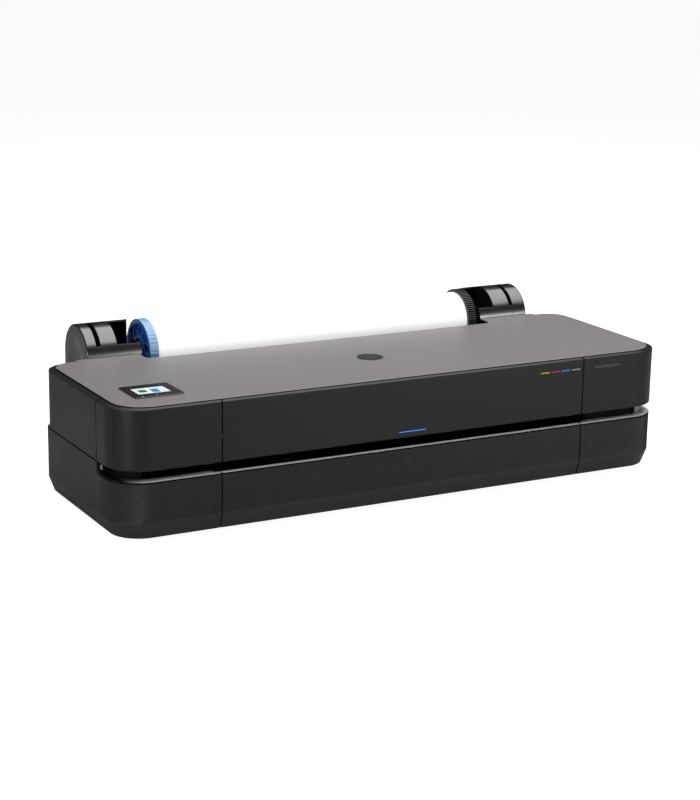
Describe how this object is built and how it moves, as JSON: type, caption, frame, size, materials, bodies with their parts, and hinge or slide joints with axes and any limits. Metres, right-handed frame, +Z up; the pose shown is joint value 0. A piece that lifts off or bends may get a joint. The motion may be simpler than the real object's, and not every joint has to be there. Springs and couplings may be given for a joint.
{
  "type": "large format plotter",
  "caption": "Desktop large format inkjet plotter: low rounded black body, grey hinged lid with touch screen, wrap-round paper slot, and a rear paper roll on a spindle between arched supports.",
  "frame": {"origin": "on the table, under the middle of the footprint", "axes": "+X to the right seen from the front, +Y from the front to the paper roll at the back, +Z up"},
  "size_m": [1.013, 0.44, 0.267],
  "materials": {
    "black_textured": "fine textured",
    "black_satin": "satin",
    "black_gloss": "gloss",
    "grey_panel": "matt, slightly warm grey",
    "display": "smooth touch screen",
    "light_bar": "clear light guide",
    "blue_plastic": "semi-gloss",
    "white_paper": "uncoated",
    "brown_card": "plain",
    "zinc_steel": "zinc plated",
    "bright_steel": "ground",
    "grey_rubber": "grit coated",
    "black_rubber": "matt",
    "circuit_board": "solder mask",
    "ink_grey": "satin",
    "mid_plastic": "moulded"
  },
  "bodies": {
    "base": {"base_tray": "mid_plastic", "front_left_foot": "black_rubber", "front_right_foot": "black_rubber", "rear_left_foot": "black_rubber", "rear_right_foot": "black_rubber", "lower_front_panel": "black_textured", "lower_left_cover": "black_textured", "lower_right_cover": "black_textured", "left_corner_fascia": "black_satin", "right_corner_fascia": "black_satin", "left_side_panel": "black_satin", "right_side_panel": "black_satin", "rear_cover": "black_satin", "roll_housing": "black_textured", "power_inlet": "mid_plastic", "port_plate": "zinc_steel", "main_circuit_board": "circuit_board", "power_supply": "zinc_steel", "left_roll_support": "black_gloss", "right_roll_support": "black_gloss", "left_end_cheek": "black_gloss", "right_end_cheek": "black_gloss", "left_chassis_plate": "zinc_steel", "right_chassis_plate": "zinc_steel", "chassis_beam": "zinc_steel", "guide_rod": "bright_steel", "platen": "mid_plastic", "output_guide": "black_satin", "cutter_rail": "zinc_steel", "pinch_roller_frame": "zinc_steel", "timing_belt": "black_rubber", "carriage_motor": "zinc_steel", "feed_motor": "zinc_steel", "service_station": "mid_plastic", "ink_station": "mid_plastic"},
    "lid": {"top_panel": "grey_panel", "lid_front_fascia": "black_satin", "lid_inner_frame": "mid_plastic", "control_panel_bezel": "black_gloss", "touch_display": "display", "status_light_bar": "light_bar"},
    "spindle_carrier": {"left_spindle_bush": "mid_plastic", "right_spindle_bush": "mid_plastic"},
    "spindle": {"spindle_shaft": "black_gloss", "blue_end_hub": "blue_plastic", "roll_core": "brown_card", "paper_roll": "white_paper"},
    "end_hub": {"adjustable_hub": "black_gloss"},
    "carriage": {"print_carriage": "mid_plastic", "printhead": "black_gloss"},
    "cutter": {"cutter_slider": "mid_plastic"},
    "feed_shaft": {"feed_roller": "grey_rubber"},
    "pinch_shaft": {"pinch_roller": "grey_rubber"},
    "output_shaft": {"output_roller": "grey_rubber"},
    "drive_pulley": {"motor_pulley": "bright_steel"},
    "return_pulley": {"idler_pulley": "bright_steel"},
    "black_ink": {"black_ink_cartridge": "ink_grey"},
    "yellow_ink": {"yellow_ink_cartridge": "ink_grey"},
    "magenta_ink": {"magenta_ink_cartridge": "ink_grey"},
    "cyan_ink": {"cyan_ink_cartridge": "ink_grey"}
  },
  "joints": [
    {"name": "lid_hinge", "type": "hinge", "parent": "base", "child": "lid", "pos_m": [0, 0.103, 0.2145], "axis": [-1, 0, 0], "range_deg": [0, 60]},
    {"name": "spindle_lift", "type": "slide", "parent": "base", "child": "spindle_carrier", "axis": [0, 0, 1], "range_m": [0, 0.11]},
    {"name": "spindle_spin", "type": "hinge", "parent": "spindle_carrier", "child": "spindle", "pos_m": [0, 0.166, 0.213], "axis": [1, 0, 0], "continuous": true},
    {"name": "adjustable_hub_slide", "type": "slide", "parent": "spindle", "child": "end_hub", "axis": [1, 0, 0], "range_m": [0, 0.006]},
    {"name": "carriage_slide", "type": "slide", "parent": "base", "child": "carriage", "axis": [1, 0, 0], "range_m": [-0.775, 0]},
    {"name": "cutter_slide", "type": "slide", "parent": "base", "child": "cutter", "axis": [1, 0, 0], "range_m": [-0.68, 0]},
    {"name": "feed_roller_spin", "type": "hinge", "parent": "base", "child": "feed_shaft", "pos_m": [0, -0.008, 0.0965], "axis": [1, 0, 0], "continuous": true},
    {"name": "pinch_roller_spin", "type": "hinge", "parent": "base", "child": "pinch_shaft", "pos_m": [0, -0.008, 0.1129], "axis": [1, 0, 0], "continuous": true},
    {"name": "output_roller_spin", "type": "hinge", "parent": "base", "child": "output_shaft", "pos_m": [0, -0.136, 0.0985], "axis": [1, 0, 0], "continuous": true},
    {"name": "motor_pulley_spin", "type": "hinge", "parent": "base", "child": "drive_pulley", "pos_m": [-0.45, 0.018, 0.18], "axis": [0, 1, 0], "range_deg": [-10, 5600]},
    {"name": "idler_pulley_spin", "type": "hinge", "parent": "base", "child": "return_pulley", "pos_m": [0.45, 0.018, 0.18], "axis": [0, 1, 0], "range_deg": [-10, 5600]},
    {"name": "black_cartridge_push", "type": "slide", "parent": "base", "child": "black_ink", "axis": [0, 0, 1], "range_m": [-0.004, 0.012]},
    {"name": "yellow_cartridge_push", "type": "slide", "parent": "base", "child": "yellow_ink", "axis": [0, 0, 1], "range_m": [-0.004, 0.012]},
    {"name": "magenta_cartridge_push", "type": "slide", "parent": "base", "child": "magenta_ink", "axis": [0, 0, 1], "range_m": [-0.004, 0.012]},
    {"name": "cyan_cartridge_push", "type": "slide", "parent": "base", "child": "cyan_ink", "axis": [0, 0, 1], "range_m": [-0.004, 0.012]}
  ],
  "couplings": [
    {"joint": "pinch_roller_spin", "follows": "feed_roller_spin", "ratio": -1.6667},
    {"joint": "output_roller_spin", "follows": "feed_roller_spin", "ratio": 1.25},
    {"joint": "motor_pulley_spin", "follows": "carriage_slide", "rad_per_m": -125},
    {"joint": "idler_pulley_spin", "follows": "carriage_slide", "rad_per_m": -125}
  ]
}
